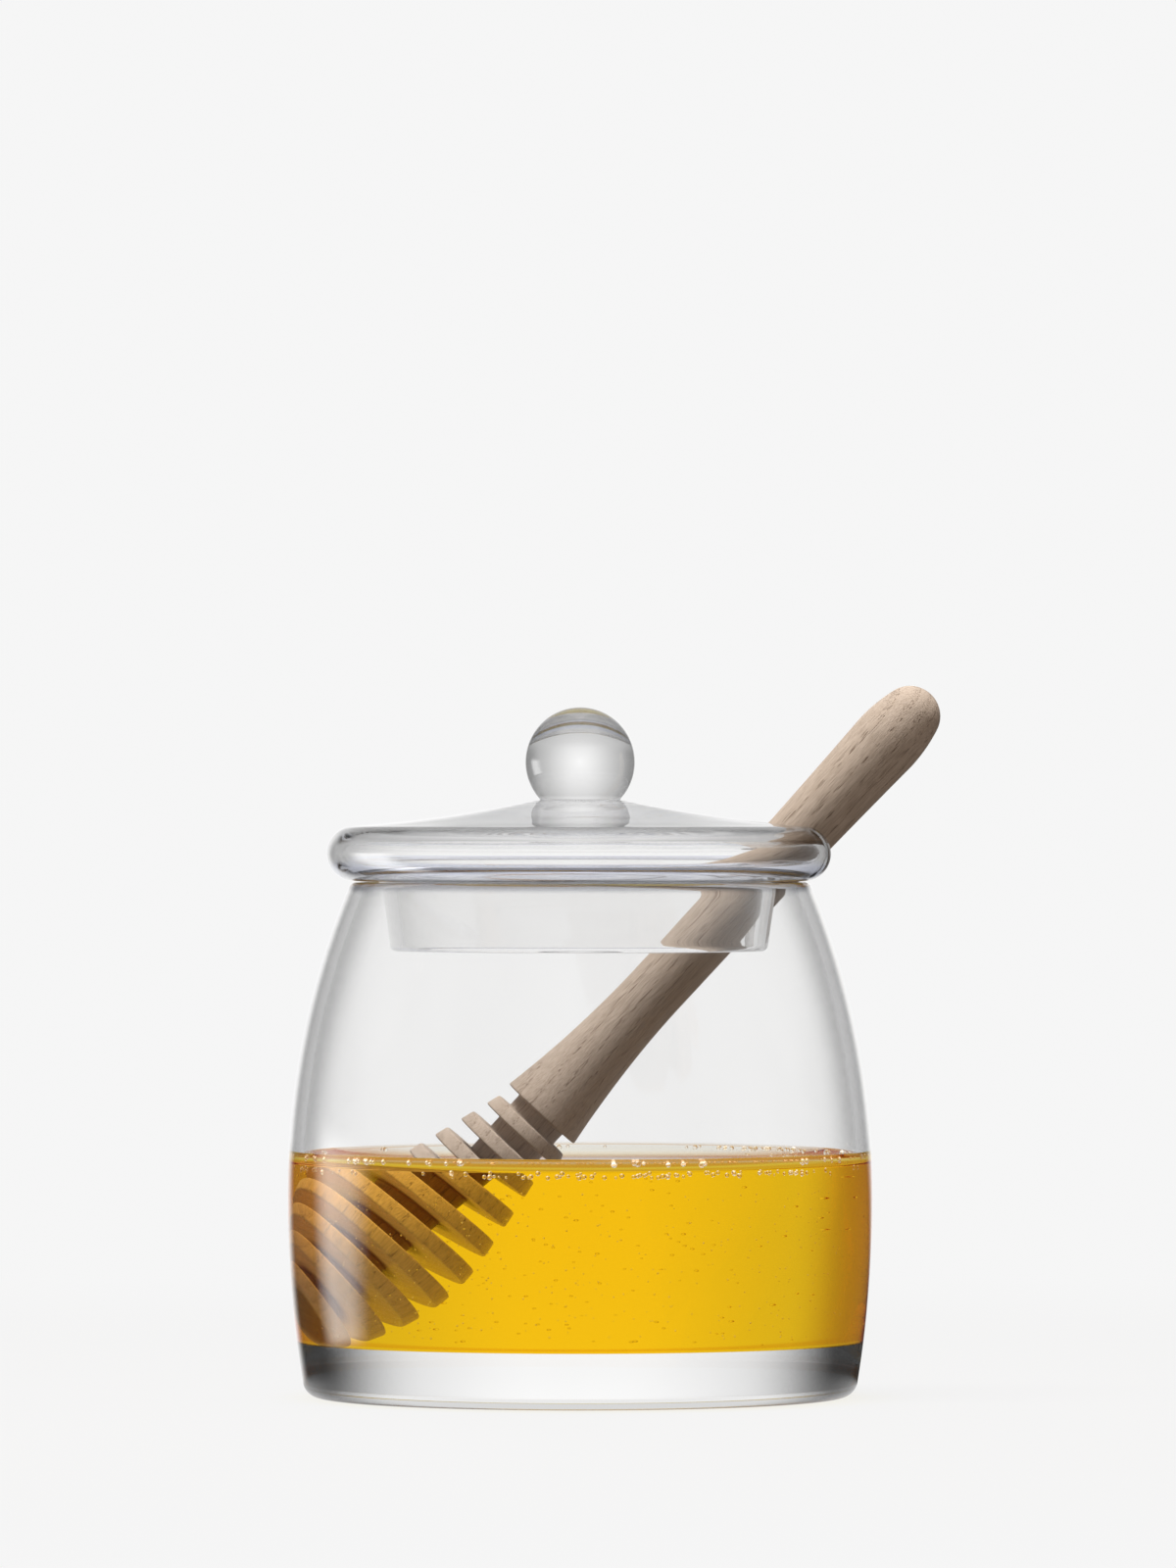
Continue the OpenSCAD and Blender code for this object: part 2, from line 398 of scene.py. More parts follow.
print("glass index", GLASS_INDEX)

# %% [markdown]
# ## Glass that honey touches
# Where honey wets the glass there is almost no step in refractive index, so light goes straight on.
# That part of the wall gets a material that lets everything through. The flat floor under the honey
# does the same for a steep look, but mirrors a level one, so that the thick base shows white below a
# sharp line of honey.

# %% Wetted glass
WHITE = (1, 1, 1, 1)
FLAT_LOOK = (0.45, 0.58)

wetted_glass, root, output = new_material("wetted_glass")
root.node("ShaderNodeBsdfTransparent").into(output.inputs["Surface"])

floor_glass, root, output = new_material("floor_glass")
straight_on = root.node("ShaderNodeBsdfTransparent")
mirror = root.node("ShaderNodeBsdfGlossy", {}, {"Color": WHITE, "Roughness": 0.0})
flat = slanted(root, *FLAT_LOOK)
clear_to_lamps(root, output, root.node(
    "ShaderNodeMixShader", {}, {0: flat, 1: straight_on, 2: mirror}))
print("the floor mirrors at a slant over", FLAT_LOOK[1])

# %% [markdown]
# ## The pot's form
# The wall bows out to a belly and in to the mouth in two arcs that meet where the pot is widest. The
# inside follows at one wall's thickness down to a flat floor over a thick base. The rim is fully
# round, as it comes out of the flame. The profile is cut in two at the height to which honey climbs.

# %% Pot sizes
pot_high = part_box("pot")[1]
honey_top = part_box("honey")[1].z
POT_R, POT_H = pot_high.x, pot_high.z
BELLY_Z = 34.5 * MM
MOUTH_R = 39.7 * MM
FOOT_R = 47.1 * MM
WALL = 2.4 * MM
BASE = 9.7 * MM
FOOT_ROUND = 3 * MM
FLOOR_ROUND = 1.8 * MM
HONEY_CLIMB = 0.8 * MM

rim_r = WALL / 2
rim_z = POT_H - rim_r
upper_r = bow(rim_z - BELLY_Z, POT_R - MOUTH_R)
upper_c = np.array([POT_R - upper_r, BELLY_Z])
rim_a = np.degrees(np.arcsin((rim_z - BELLY_Z) / (upper_r - rim_r)))
rim_c = upper_c + (upper_r - rim_r) * direction(rim_a)
lower_r = bow(BELLY_Z, POT_R - FOOT_R)
lower_c = np.array([POT_R - lower_r, BELLY_Z])
foot_a = -np.degrees(np.arcsin((BELLY_Z - FOOT_ROUND) / (lower_r - FOOT_ROUND)))
foot_c = lower_c + (lower_r - FOOT_ROUND) * direction(foot_a)
floor_arc_r = lower_r - WALL - FLOOR_ROUND
floor_a = -np.degrees(np.arcsin((BELLY_Z - BASE - FLOOR_ROUND) / floor_arc_r))
floor_c = lower_c + floor_arc_r * direction(floor_a)
wet_top = honey_top + HONEY_CLIMB
wet_a = np.degrees(np.arcsin((wet_top - BELLY_Z) / (upper_r - WALL)))
print("pot", round(2 * POT_R / MM, 1), "mm across and", round(POT_H / MM, 1), "mm tall")

# %% Pot surface
FLOOR_POINTS = 12

pot_dry = joined(
    line((0, 0), (foot_c[0], 0), 12),
    arc(foot_c, FOOT_ROUND, -90, foot_a, 16),
    arc(lower_c, lower_r, foot_a, 0, 36),
    arc(upper_c, upper_r, 0, rim_a, 48),
    arc(rim_c, rim_r, rim_a, rim_a + 180, 24),
    arc(upper_c, upper_r - WALL, rim_a, wet_a, 40))
pot_wetted = joined(
    arc(upper_c, upper_r - WALL, wet_a, 0, 12),
    arc(lower_c, lower_r - WALL, 0, floor_a, 30),
    arc(floor_c, FLOOR_ROUND, floor_a, -90, 14),
    line((floor_c[0], BASE), (0, BASE), FLOOR_POINTS))
pot = make_piece("pot_clear", *turned(joined(pot_dry, pot_wetted)), "pot", "pot_glass")
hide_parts("pot")


def wall_inside(z):
    """Radius of the wetted inside at a height, read off its profile."""
    return np.interp(z, pot_wetted[::-1, 1], pot_wetted[::-1, 0])


# %% [markdown]
# ## The pot's glass
# The base is solid glass, and painted shade takes it nearly to black towards its sides. The wall over
# the honey is thin and gets painted grey only at its very edge, and the round rim is painted grey all
# over. Heights tell these parts from each other, because all of them are one surface.

# %% Pot glass
POT_CLEAR = (0.958, 0.957, 0.955, 1)
POT_WAVES = 0.12 * MM
BASE_GREY, WALL_GREY, RIM_GREY = 0.9, 0.36, 0.3
BASE_SLANT, WALL_SLANT = (0.22, 0.62), (0.52, 0.84)
BASE_LEAN = 0.577
BASE_BLUR = 0.15 * MM
FOOT_SHARE = 0.9
RIM_THICK = 0.15


def pot_painted_greys(place):
    """Painted shade in base, wall and rim, and the rim's thickness."""
    z = place.part("Z")
    in_base = 1 - z.smooth(BASE - BASE_BLUR, BASE + BASE_BLUR)
    over_foot = z.smooth(0.2 * MM, 2 * MM) * (1 - FOOT_SHARE) + FOOT_SHARE
    # painted shade: the base goes darker the more it is seen at a slant
    base_grey = in_base * over_foot * slanted(place, *BASE_SLANT, BASE_LEAN) * BASE_GREY
    over_honey = z.smooth(honey_top, wet_top)
    wall_grey = over_honey * slanted(place, *WALL_SLANT) * WALL_GREY
    at_rim = z.smooth(rim_z - 0.6 * MM, rim_z + 0.4 * MM)
    return base_grey + wall_grey + at_rim * RIM_GREY, at_rim * RIM_THICK


pot.data.materials.append(glass_material("pot_glass", POT_WAVES, POT_CLEAR, pot_painted_greys))
pot.data.materials.append(wetted_glass)
pot.data.materials.append(floor_glass)
print("kinds of glass on the pot:", len(pot.data.materials))

# %% [markdown]
# ## Which glass goes where
# A face has the number of its material. The middle of each face tells where it lies: on the wetted
# inside, on the flat floor, or under the foot, where the pot stands on the table.

# %% Wetted faces
NEAR_WALL = 0.1 * MM
ON_FLOOR = 0.01 * MM
ON_TABLE = 0.001 * MM

centres = np.empty(len(pot.data.polygons) * 3)
pot.data.polygons.foreach_get("center", centres)
centre_x, centre_y, centre_z = centres.reshape(-1, 3).T
inside = np.hypot(centre_x, centre_y) < wall_inside(centre_z) + NEAR_WALL
is_wetted = inside & (centre_z < wet_top) & (centre_z > BASE - ON_FLOOR)
is_wetted |= centre_z < ON_TABLE
on_floor = is_wetted & (np.abs(centre_z - BASE) < ON_FLOOR)
pot.data.polygons.foreach_set("material_index", is_wetted.astype(np.int32) + on_floor)
print("wetted faces:", int(is_wetted.sum()), "of which on the floor:", int(on_floor.sum()))

# %% [markdown]
# ## The honey's form
# Honey fills the pot to its level and climbs at the glass. Its body reaches a little way into the
# wall, so that no film of air is left between them. The free surface is a thin sheet of its own just
# over the body, because only there does light bend.

# %% Honey body and surface
MENISCUS = 2.6 * MM
MENISCUS_RUN = 1.7 * MM
CLIMB_FROM = 8 * MM
CLIMB_GAP = 0.2 * MM
OVERLAP = 0.05 * MM
SHEET_LIFT = 0.03 * MM

wall_at_top = wall_inside(wet_top)
level = wet_top - MENISCUS


def honey_height(r):
    """Level honey that climbs towards the wall: level + m exp(-(wall - r) / run)."""
    return level + MENISCUS * np.exp(-(wall_at_top - r) / MENISCUS_RUN)


def graph(r, height):
    """Points of a profile at the radii r, each at the height that the function gives for it."""
    return np.stack([r, height(r)], axis=1)


climb_start = wall_at_top - CLIMB_FROM
surface_r = np.concatenate([
    np.linspace(0, climb_start, 24), np.linspace(climb_start + CLIMB_GAP, wall_at_top, 40)])
surface_line = graph(surface_r, honey_height)
body_side = pot_wetted + OVERLAP
body_side[-FLOOR_POINTS:, 0] = pot_wetted[-FLOOR_POINTS:, 0]
sheet_line = surface_line[::-1] + np.array([0, SHEET_LIFT])
honey_body = make_piece("honey_body", *turned(joined(surface_line, body_side)), "pot", "honey")
honey_sheet = make_piece("honey_surface", *turned(sheet_line), "pot", "honey", closed=False)
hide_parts("honey")
print("honey level", round(level / MM, 2), "mm")

# %% [markdown]
# ## The honey's colour
# Honey is clear and takes out blue light first, then green, so a thick layer turns golden. That is a
# volume that absorbs, and its colour then follows from how far the light goes through it. The body's
# sides don't bend light, as they lie against glass of nearly the same index. They are painted amber
# where the wall slants away, a painted shade for the dark edge that a round pot of honey shows.

# %% Honey body material
HONEY_COLOUR = (0.996, 0.889, 0.0, 1)
HONEY_DENSITY = 55.0
PAINTED_EDGE_AMBER = (0.85, 0.60, 0.40, 1)
AMBER_FROM, AMBER_TO = (0.14, 0.26), (0.4, 0.5)

honey_volume, root, output = new_material("honey")
# painted amber edge shade, by the slant of the wall
sides = slanted(root, *AMBER_FROM) * (1 - slanted(root, *AMBER_TO))
clear_to_lamps(root, output, clear_shader(root, 1.0, sides.colour(WHITE, PAINTED_EDGE_AMBER)))
absorb = root.node(
    "ShaderNodeVolumeAbsorption", {}, {"Color": HONEY_COLOUR, "Density": HONEY_DENSITY})
absorb.into(output.inputs["Volume"])
honey_body.data.materials.append(honey_volume)
print("honey absorbs with a density of", HONEY_DENSITY)

# %% [markdown]
# ## The honey's free surface
# The surface bends and mirrors light like any clear liquid, with slow ripples. In the polished edge of
# the lid it would show as yellow streaks, which the real lid doesn't have, so what other glass mirrors
# of it is a plain pale light.

# %% Honey surface material
HONEY_INDEX = 1.49
RIPPLES = 0.2 * MM
SKIN_PALE, SKIN_WARM = (1, 0.985, 0.93, 1), (1, 0.96, 0.86, 1)
PALE_LIGHT = 0.7
AT_LEAST_ONCE = (0.4, 0.6)

honey_skin, root, output = new_material("honey_surface")
place = root.node("ShaderNodeTexCoord", out="Object")
skin_tint = place.noise(120.0).colour(SKIN_PALE, SKIN_WARM)
skin = clear_shader(root, HONEY_INDEX, skin_tint, Normal=place.noise(45.0, 1.0).bump(RIPPLES))
mirrored_once = root.node("ShaderNodeLightPath", out="Glossy Depth").smooth(*AT_LEAST_ONCE)
pale = root.node("ShaderNodeEmission", {}, {"Color": WHITE, "Strength": PALE_LIGHT})
clear_to_lamps(root, output, root.node(
    "ShaderNodeMixShader", {}, {0: mirrored_once, 1: skin, 2: pale}))
honey_sheet.data.materials.append(honey_skin)
print("honey index", HONEY_INDEX)

# %% [markdown]
# ## The lid's sizes
# The lid is blown hollow: a rounded rim, a dome that sweeps up to the ball, and a plug that hangs in
# the mouth. The ball was set on hot, so the two are one piece of glass, and one surface here. All arcs
# meet without a kink, so their centres follow from each other.

# %% Lid sizes
LID_WALL = 2.4 * MM
RIM_HEIGHT = 9.4 * MM
LID_GAP = 0.2 * MM
LID_Z = POT_H + LID_GAP
OVERHANG = 3.7 * MM
DOME_SLOPE = 4
CEILING_RISE = 1.4 * MM
PLUG_DEPTH = 12.2 * MM
PLUG_TAPER = 1.6 * MM
PLUG_ROUND = 1.5 * MM
PLUG_GAP = 3.3 * MM
KNOB_R = 9.4 * MM
KNOB_FOOT_R = 6.75 * MM
KNOB_LAND = 0.8 * MM

bead_r = RIM_HEIGHT / 2
bead_c = np.array([MOUTH_R + OVERHANG - bead_r, LID_Z + bead_r])
hollow_r = bead_r - LID_WALL
seat = np.array([KNOB_FOOT_R + KNOB_LAND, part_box("lid")[1].z])
knob_c = np.array([0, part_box("lid_knob")[1].z - KNOB_R])
knob_a = np.degrees(np.arcsin((seat[1] - knob_c[1]) / KNOB_R))
dome_dir = direction(90 - DOME_SLOPE)
dome_edge = bead_c + bead_r * dome_dir
dome_run = seat - dome_edge
dome_r = dome_run @ dome_run / (2 * dome_run @ dome_dir)
dome_c = dome_edge + dome_r * dome_dir
ceiling_r = bow(bead_c[0], CEILING_RISE) + hollow_r
ceiling_c = np.array([0, bead_c[1] + hollow_r + CEILING_RISE - ceiling_r])
ceiling_a = np.degrees(np.arctan2(bead_c[1] - ceiling_c[1], bead_c[0]))
ceiling_edge = bead_c + hollow_r * direction(ceiling_a)
plug_a = np.degrees(np.arctan(PLUG_TAPER / PLUG_DEPTH))
plug_r = rim_c[0] - rim_r - PLUG_GAP
plug_c = np.array([plug_r + PLUG_ROUND * np.cos(np.radians(plug_a)), LID_Z - PLUG_ROUND])
plug_cap = LID_WALL / 2
plug_top = plug_c + (PLUG_ROUND + plug_cap) * direction(180 - plug_a)
plug_end_z = LID_Z - PLUG_DEPTH + plug_cap
plug_end_x = plug_top[0] - (plug_top[1] - plug_end_z) * np.tan(np.radians(plug_a))
plug_end = np.array([plug_end_x, plug_end_z])
print("lid", round(2 * (bead_c[0] + bead_r) / MM, 1), "mm across")

# %% [markdown]
# ## Dome, ceiling and notch
# The dome and the ceiling are heights over a radius. While the lid spun, the tools left low rings on
# the dome by the knob. The notch for the dipper is open at the rim. It isn't cut with a Boolean, which
# would leave ragged faces: each ring of the grid starts at one side of the notch and ends at the other.

# %% Dome, ceiling and notch
NOTCH_IN = 27.92 * MM
NOTCH_HALF = 7.0 * MM
NOTCH_ROUND = 3.0 * MM
RING_HEIGHT = 0.035 * MM
RING_FALL = 0.4 * MM
RINGS_RUN = 4 * MM
FINE_RINGS, FINE_SHARE = 2.3, 0.4


def dome_height(r):
    """Height of the dome's concave arc at a radius, with the rings on it: a wave of the fall from the
    seat and a finer one, which both die out away from the knob."""
    height = dome_c[1] - np.sqrt(dome_r**2 - (r - dome_c[0]) ** 2)
    turn = 2 * np.pi * (seat[1] - height) / RING_FALL
    rings = RING_HEIGHT * (np.cos(turn) + FINE_SHARE * np.cos(FINE_RINGS * turn))
    return height + rings * np.exp(-(r - seat[0]) / RINGS_RUN)


def ceiling_height(r):
    """Height of the hollow's ceiling, a flat sphere, at a radius."""
    return ceiling_c[1] + np.sqrt(ceiling_r**2 - r**2)


def notch_start(r):
    """Angle at which the notch's outline has a radius: its flat end has the cosine end / r, a corner
    arc follows by the law of cosines, and its straight side has the sine half / r."""
    side = NOTCH_HALF - NOTCH_ROUND
    corner = np.array([NOTCH_IN + NOTCH_ROUND, side])
    corner_len, corner_at = np.hypot(*corner), np.arctan2(corner[1], corner[0])
    safe = np.maximum(r, NOTCH_IN)
    cosine = (safe**2 + corner_len**2 - NOTCH_ROUND**2) / (2 * safe * corner_len)
    end = np.arccos(np.clip(NOTCH_IN / safe, -1, 1))
    bend = corner_at + np.arccos(np.clip(cosine, -1, 1))
    straight = np.arcsin(np.clip(NOTCH_HALF / safe, -1, 1))
    flat_to, bend_to = np.hypot(NOTCH_IN, side), np.hypot(corner[0], NOTCH_HALF)
    return np.select([r <= NOTCH_IN, r <= flat_to, r <= bend_to], [0 * r, end, bend], straight)


print("ceiling rises to", round(ceiling_height(0) / MM, 2), "mm")

# %% [markdown]
# ## The lid's skins
# From the ball down to the notch the profile is one run. From there the outer skin goes over the dome,
# round the rim and down the plug to its lowest ring, and the inner skin comes back the same way inside
# with as many points, so that a strip of faces between them can close the cut on each side.

# %% Lid skins
FILLET = 1.2 * MM
FILLET_FROM, BALL_TO = 8, 10
SEAT_EDGE = 0.7 * MM
RINGS_TO, DOME_FROM = 15 * MM, 15.4 * MM

dome_in = np.concatenate([
    seat[:1], np.linspace(seat[0] + SEAT_EDGE, RINGS_TO, 56), np.linspace(DOME_FROM, NOTCH_IN, 28)])
inner_dome = graph(dome_in, dome_height)
knob_foot = [knob_c + KNOB_R * direction(knob_a + a) for a in (FILLET_FROM, 0)]
seat_turn = rounded([*knob_foot, seat, inner_dome[1]], FILLET, 8)
knob_skin = np.vstack([
    arc(knob_c, KNOB_R, 90, knob_a + BALL_TO, 56), seat_turn[:-1], inner_dome[1:-1]])


def plug_skin(top, flat_z, corner_r, side, end):
    """The way from the rim's flat at a height over a corner arc and down the plug to its end cap,
    which is half a turn: side is the way to the skin from the plug's middle, end its last angle."""
    return [
        line((bead_c[0], flat_z), (plug_c[0], flat_z), 6)[:-1],
        arc(plug_c, corner_r, 90, 180 - plug_a, 9)[:-1],
        line(top, plug_end + plug_cap * direction(side), 15)[:-1],
        arc(plug_end, plug_cap, side, end, 9)]


to_edge = np.linspace(0, 1, 30) ** 2
outer_r = NOTCH_IN + (dome_edge[0] - NOTCH_IN) * to_edge
inner_r = NOTCH_IN + (ceiling_edge[0] - NOTCH_IN) * to_edge
plug_way = direction(180 - plug_a)
outer_skin = np.vstack([
    graph(outer_r, dome_height)[:-1],
    arc(bead_c, bead_r, 90 - DOME_SLOPE, -90, 33)[:-1],
    *plug_skin(plug_c + PLUG_ROUND * plug_way, LID_Z, PLUG_ROUND, -plug_a, -plug_a - 90)])
inner_skin = np.vstack([
    graph(inner_r, ceiling_height)[:-1],
    arc(bead_c, hollow_r, ceiling_a, -90, 33)[:-1],
    *plug_skin(plug_c + (PLUG_ROUND + LID_WALL) * plug_way, LID_Z + LID_WALL,
               PLUG_ROUND + LID_WALL, 180 - plug_a, 270 - plug_a)])
print("skins of", len(outer_skin), "and", len(inner_skin), "points")

# %% Lid surface
LID_AROUND = 176

ceiling_in = graph(np.linspace(NOTCH_IN, 0, 24)[1:], ceiling_height)
lid_profile = np.vstack([knob_skin, outer_skin, inner_skin[-2::-1], ceiling_in])
lid_points, lid_faces = turned(lid_profile, LID_AROUND, notch_start)
tip = len(knob_skin) + len(outer_skin) - 1
step = np.arange(len(outer_skin) - 1)
strip_rows = np.stack([tip - step, tip - step - 1, tip + step + 1, tip + step], axis=1)
strip = strip_rows * (LID_AROUND + 1)
lid_faces = np.vstack([lid_faces, strip, strip + LID_AROUND])
lid = make_piece("lid_clear", lid_points, lid_faces, "lid", "lid_glass")
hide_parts("lid", "lid_knob")
print("lid top", round(float(lid_profile[:, 1].max()) / MM, 2), "mm")

# %% [markdown]
# ## The lid's glass
# Painted grey, a painted shade, grows on the rim where it turns away, on the dome only where it is
# almost edge on, and on the ball from its middle on. Three thick rings get painted grey as well: the
# shoulder where the dome leaves the rim, the seat on the pot, and the foot of the ball. A look that has
# already come through glass sees the far side of the lid, where less grey is painted, so it stays light.
# A Bevel modifier polishes the edges of the notch.

# %% Lid glass
LID_CLEAR = (0.985, 0.984, 0.982, 1)
LID_WAVES = 0.45 * MM
AWAY_GREY, SHOULDER_GREY, SEAT_GREY, BALL_FOOT_GREY = 0.44, 0.24, 0.45, 0.2
BALL_GREY, BALL_EDGE_GREY = 0.42, 0.25
RIM_SLANT, DOME_SLANT, BALL_SLANT = (0.15, 0.9), (0.7, 1.0), (0.72, 0.95)
DOME_UP, DOME_OUT = (LID_Z + 5 * MM, LID_Z + 6 * MM), (33 * MM, 37 * MM)
FAR_SIDE, FAR_SIDE_LIGHT = (1.2, 2.2), 0.9
EDGE_THICK = 0.3
LEVEL = (1, 1, 0)


def lid_painted_greys(place):
    """Painted shade in rim, dome, ball and thick rings, and the thickness of the rim's lower edge."""
    z = place.part("Z")
    on_dome = z.smooth(*DOME_UP) * (1 - place.times(LEVEL).length().smooth(*DOME_OUT))
    away = on_dome.choose(slanted(place, *RIM_SLANT), slanted(place, *DOME_SLANT))
    shoulder = z.band(dome_edge[1], -1.6, -0.4, 0.0, 1.0)
    at_seat = z.band(LID_Z, -0.4, -0.1, 0.2, 0.6)
    # painted shade on rim, dome, shoulder and seat
    rim_grey = away * AWAY_GREY + shoulder * SHOULDER_GREY + at_seat * SEAT_GREY
    far_side = place.node("ShaderNodeLightPath", out="Transmission Depth").smooth(*FAR_SIDE)
    ball_edge = slanted(place, *BALL_SLANT) * BALL_EDGE_GREY
    ball_grey = slant_of(place) ** 0.5 * BALL_GREY + ball_edge
    in_ball = z.smooth(seat[1], seat[1] + 1 * MM)
    ball_foot = z.band(seat[1], -0.35, -0.1, 0.1, 0.35) * BALL_FOOT_GREY
    grey = in_ball.choose(rim_grey * (1 - far_side * FAR_SIDE_LIGHT), ball_grey) + ball_foot
    return grey, z.band(LID_Z, -0.4, -0.1, 2.2, 3.2) * EDGE_THICK


lid.data.materials.append(glass_material("lid_glass", LID_WAVES, LID_CLEAR, lid_painted_greys))
polish = lid.modifiers.new("fire_polish", "BEVEL")
polish.limit_method = "ANGLE"
polish.angle_limit = np.radians(50)
polish.width = 0.5 * MM
polish.segments = 3
polish.harden_normals = True
print("edges of the notch rounded by", round(polish.width / MM, 2), "mm")

# %% [markdown]
# ## The dipper's form
# One stick of oak on a lathe: a handle that swells at the grip, a flared collar and a head of nine
# discs on a core. Distances run along its axis from the collar, up the handle. The turner breaks each
# edge a little, so every corner of the head's profile is rounded.

# %% Dipper sizes
HANDLE = 98.2 * MM
COLLAR_R, WAIST_R, GRIP_R, END_R = 7.55 * MM, 5.05 * MM, 6.05 * MM, 5.2 * MM
WAIST_AT = 30 * MM
GRIP_ROUND = 28 * MM
HEAD_R, HEAD_ROUND, HEAD_FLANK, HEAD_WIDE_AT = 13.65 * MM, 28 * MM, 16, 17 * MM
DISCS, DISC_T, PITCH, CORE_R = 9, 2.5 * MM, 5.0 * MM, 5.0 * MM
HEAD = DISCS * PITCH

end_run = np.sqrt((GRIP_ROUND - END_R) ** 2 - (GRIP_ROUND - GRIP_R) ** 2)
end_at = HANDLE - END_R
grip_at = end_at - end_run
flare_r = bow(WAIST_AT, COLLAR_R - WAIST_R)
shaft_r = bow(grip_at - WAIST_AT, GRIP_R - WAIST_R)
flare_a = np.degrees(np.arcsin(WAIST_AT / flare_r))
shaft_a = np.degrees(np.arcsin((grip_at - WAIST_AT) / shaft_r))
end_a = np.degrees(np.arcsin(end_run / (GRIP_ROUND - END_R)))
print("dipper", round((HANDLE + HEAD) / MM, 1), "mm long")


# %% Dipper profile
def head_radius(t):
    """Radius of the head's swell: round about its widest point, then a cone towards the collar."""
    up = t + HEAD - HEAD_WIDE_AT
    flank = np.radians(HEAD_FLANK)
    cone_at = HEAD_ROUND * np.sin(flank)
    cone_r = HEAD_R - HEAD_ROUND * (1 - np.cos(flank))
    swell = HEAD_R - HEAD_ROUND + np.sqrt(HEAD_ROUND**2 - np.minimum(up, cone_at) ** 2)
    return np.where(up < cone_at, swell, cone_r - (up - cone_at) * np.tan(flank))


BROKEN_EDGE = 0.4 * MM
disc_low = -HEAD + PITCH * np.arange(DISCS)
disc_high = disc_low + DISC_T
core = np.full(DISCS, CORE_R)
corner_r = np.stack([core, head_radius(disc_low), head_radius(disc_high), core], axis=1)
corner_t = np.stack([disc_low, disc_low, disc_high, disc_high], axis=1)
disc_corners = np.stack([corner_r, corner_t], axis=-1).reshape(-1, 2)
handle_line = joined(
    arc((WAIST_R + flare_r, WAIST_AT), flare_r, 180 + flare_a, 180, 24),
    arc((WAIST_R + shaft_r, WAIST_AT), shaft_r, 180, 180 - shaft_a, 24),
    arc((GRIP_R - GRIP_ROUND, grip_at), GRIP_ROUND, 0, end_a, 10),
    arc((0, end_at), END_R, end_a, 90, 24))
head_corners = np.vstack([[[0, -HEAD]], disc_corners[1:], [[CORE_R, 0]], handle_line[:2]])
head_line = rounded(head_corners, BROKEN_EDGE, 5)
print("discs of", np.round(2 * head_radius(disc_high) / MM, 1), "mm across")

# %% [markdown]
# ## Leaning the dipper
# The profile is turned round Z first, and the points are then leaned over into place. The way it leans
# is the way the dipper is drawn, so the joint gives the axis, and the handle's round end gives the
# place. The object itself stays unturned, as the grain of the wood is drawn in its coordinates.

# %% Dipper in place
DIPPER_AROUND = 128

draw = next(j for j in frame["joints"] if j["name"] == "dipper_draw")
dipper_axis = np.array(draw["axis"]) / np.linalg.norm(draw["axis"])
end_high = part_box("dipper")[1]
end_c = np.array([end_high.x - END_R, 0, end_high.z - END_R])
collar = end_c - dipper_axis * end_at
side = np.array([dipper_axis[2], 0, -dipper_axis[0]])
lean = np.stack([side, np.array([0.0, 1.0, 0.0]), dipper_axis])
dipper_points, dipper_faces = turned(joined(head_line, handle_line[1:]), DIPPER_AROUND)
dipper = make_piece("dipper_oak", dipper_points @ lean + collar, dipper_faces, "dipper", "oak")
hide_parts("dipper")
print("collar at", np.round(collar / MM, 2), "mm")

# %% [markdown]
# ## Oak
# Oak shows its growth rings as bands, and in the early part of each ring there are wide pores, which
# are dark lines where the chisel runs along them. All of it is drawn in the stick's own direction: the
# texture's Z axis is turned to lie along the dipper. Rings are distances from a pith that lies outside
# the stick, a little bent by noise, and pores are noise that is stretched a long way along the grain.

# %% Oak grain
PITH = (0.031, 0.018, 0.0)
RING = 2.1 * MM
RING_BEND = 4 * MM

oak, root, output = new_material("oak")
place = root.node("ShaderNodeTexCoord", out="Object")
tilt = -np.arctan2(dipper_axis[0], dipper_axis[2])
along = root.node("ShaderNodeMapping", {}, {"Vector": place, "Rotation": (0, tilt, 0)})
bend = along.times((1, 1, 0.12)).noise(70.0) - 0.5
from_pith = along.times(LEVEL).vector("SUBTRACT", PITH).length()
ring = root.maths("FRACT", (from_pith + bend * RING_BEND) / RING)
early = (1.0 - ring) ** 4.0
pores = along.times((1, 1, 0.055)).noise(6500.0, 0.0).smooth(0.60, 0.68) * (early * 0.85 + 0.15)
fibres = along.times((1, 1, 0.05)).noise(5200.0, 3.0, 0.7).smooth(0.25, 0.75)
flecks = along.times((1, 0.3, 0.16)).noise(1300.0, 1.0).smooth(0.60, 0.72)
patches = along.times((1, 1, 0.2)).noise(90.0).smooth(0.3, 0.7)
print("oak rings every", RING / MM, "mm")

# %% [markdown]
# ## Dry and soaked oak
# The colours are laid over each other from the fibres up to the pores. Below the honey's level the wood
# is soaked: smoother and more golden. There it also gets light from all sides, which the honey around
# it scatters. That light is painted as a weak glow on the discs, while the grooves between them stay
# dark.

# %% Oak material
FIBRE_DARK, FIBRE_PALE = (0.42, 0.335, 0.262, 1), (0.63, 0.527, 0.438, 1)
PATCH, EARLY_WOOD = (0.52, 0.410, 0.320, 1), (0.40, 0.300, 0.220, 1)
FLECK, PORE = (0.64, 0.55, 0.46, 1), (0.15, 0.090, 0.055, 1)
STEEPED, PAINTED_GLOW_TINT = (1.0, 0.70, 0.46, 1), (1.0, 0.88, 0.78, 1)
PAINTED_HONEY_GLOW = 0.30
OAK_INDEX = 1.45
GRAIN_DEPTH = 0.12 * MM

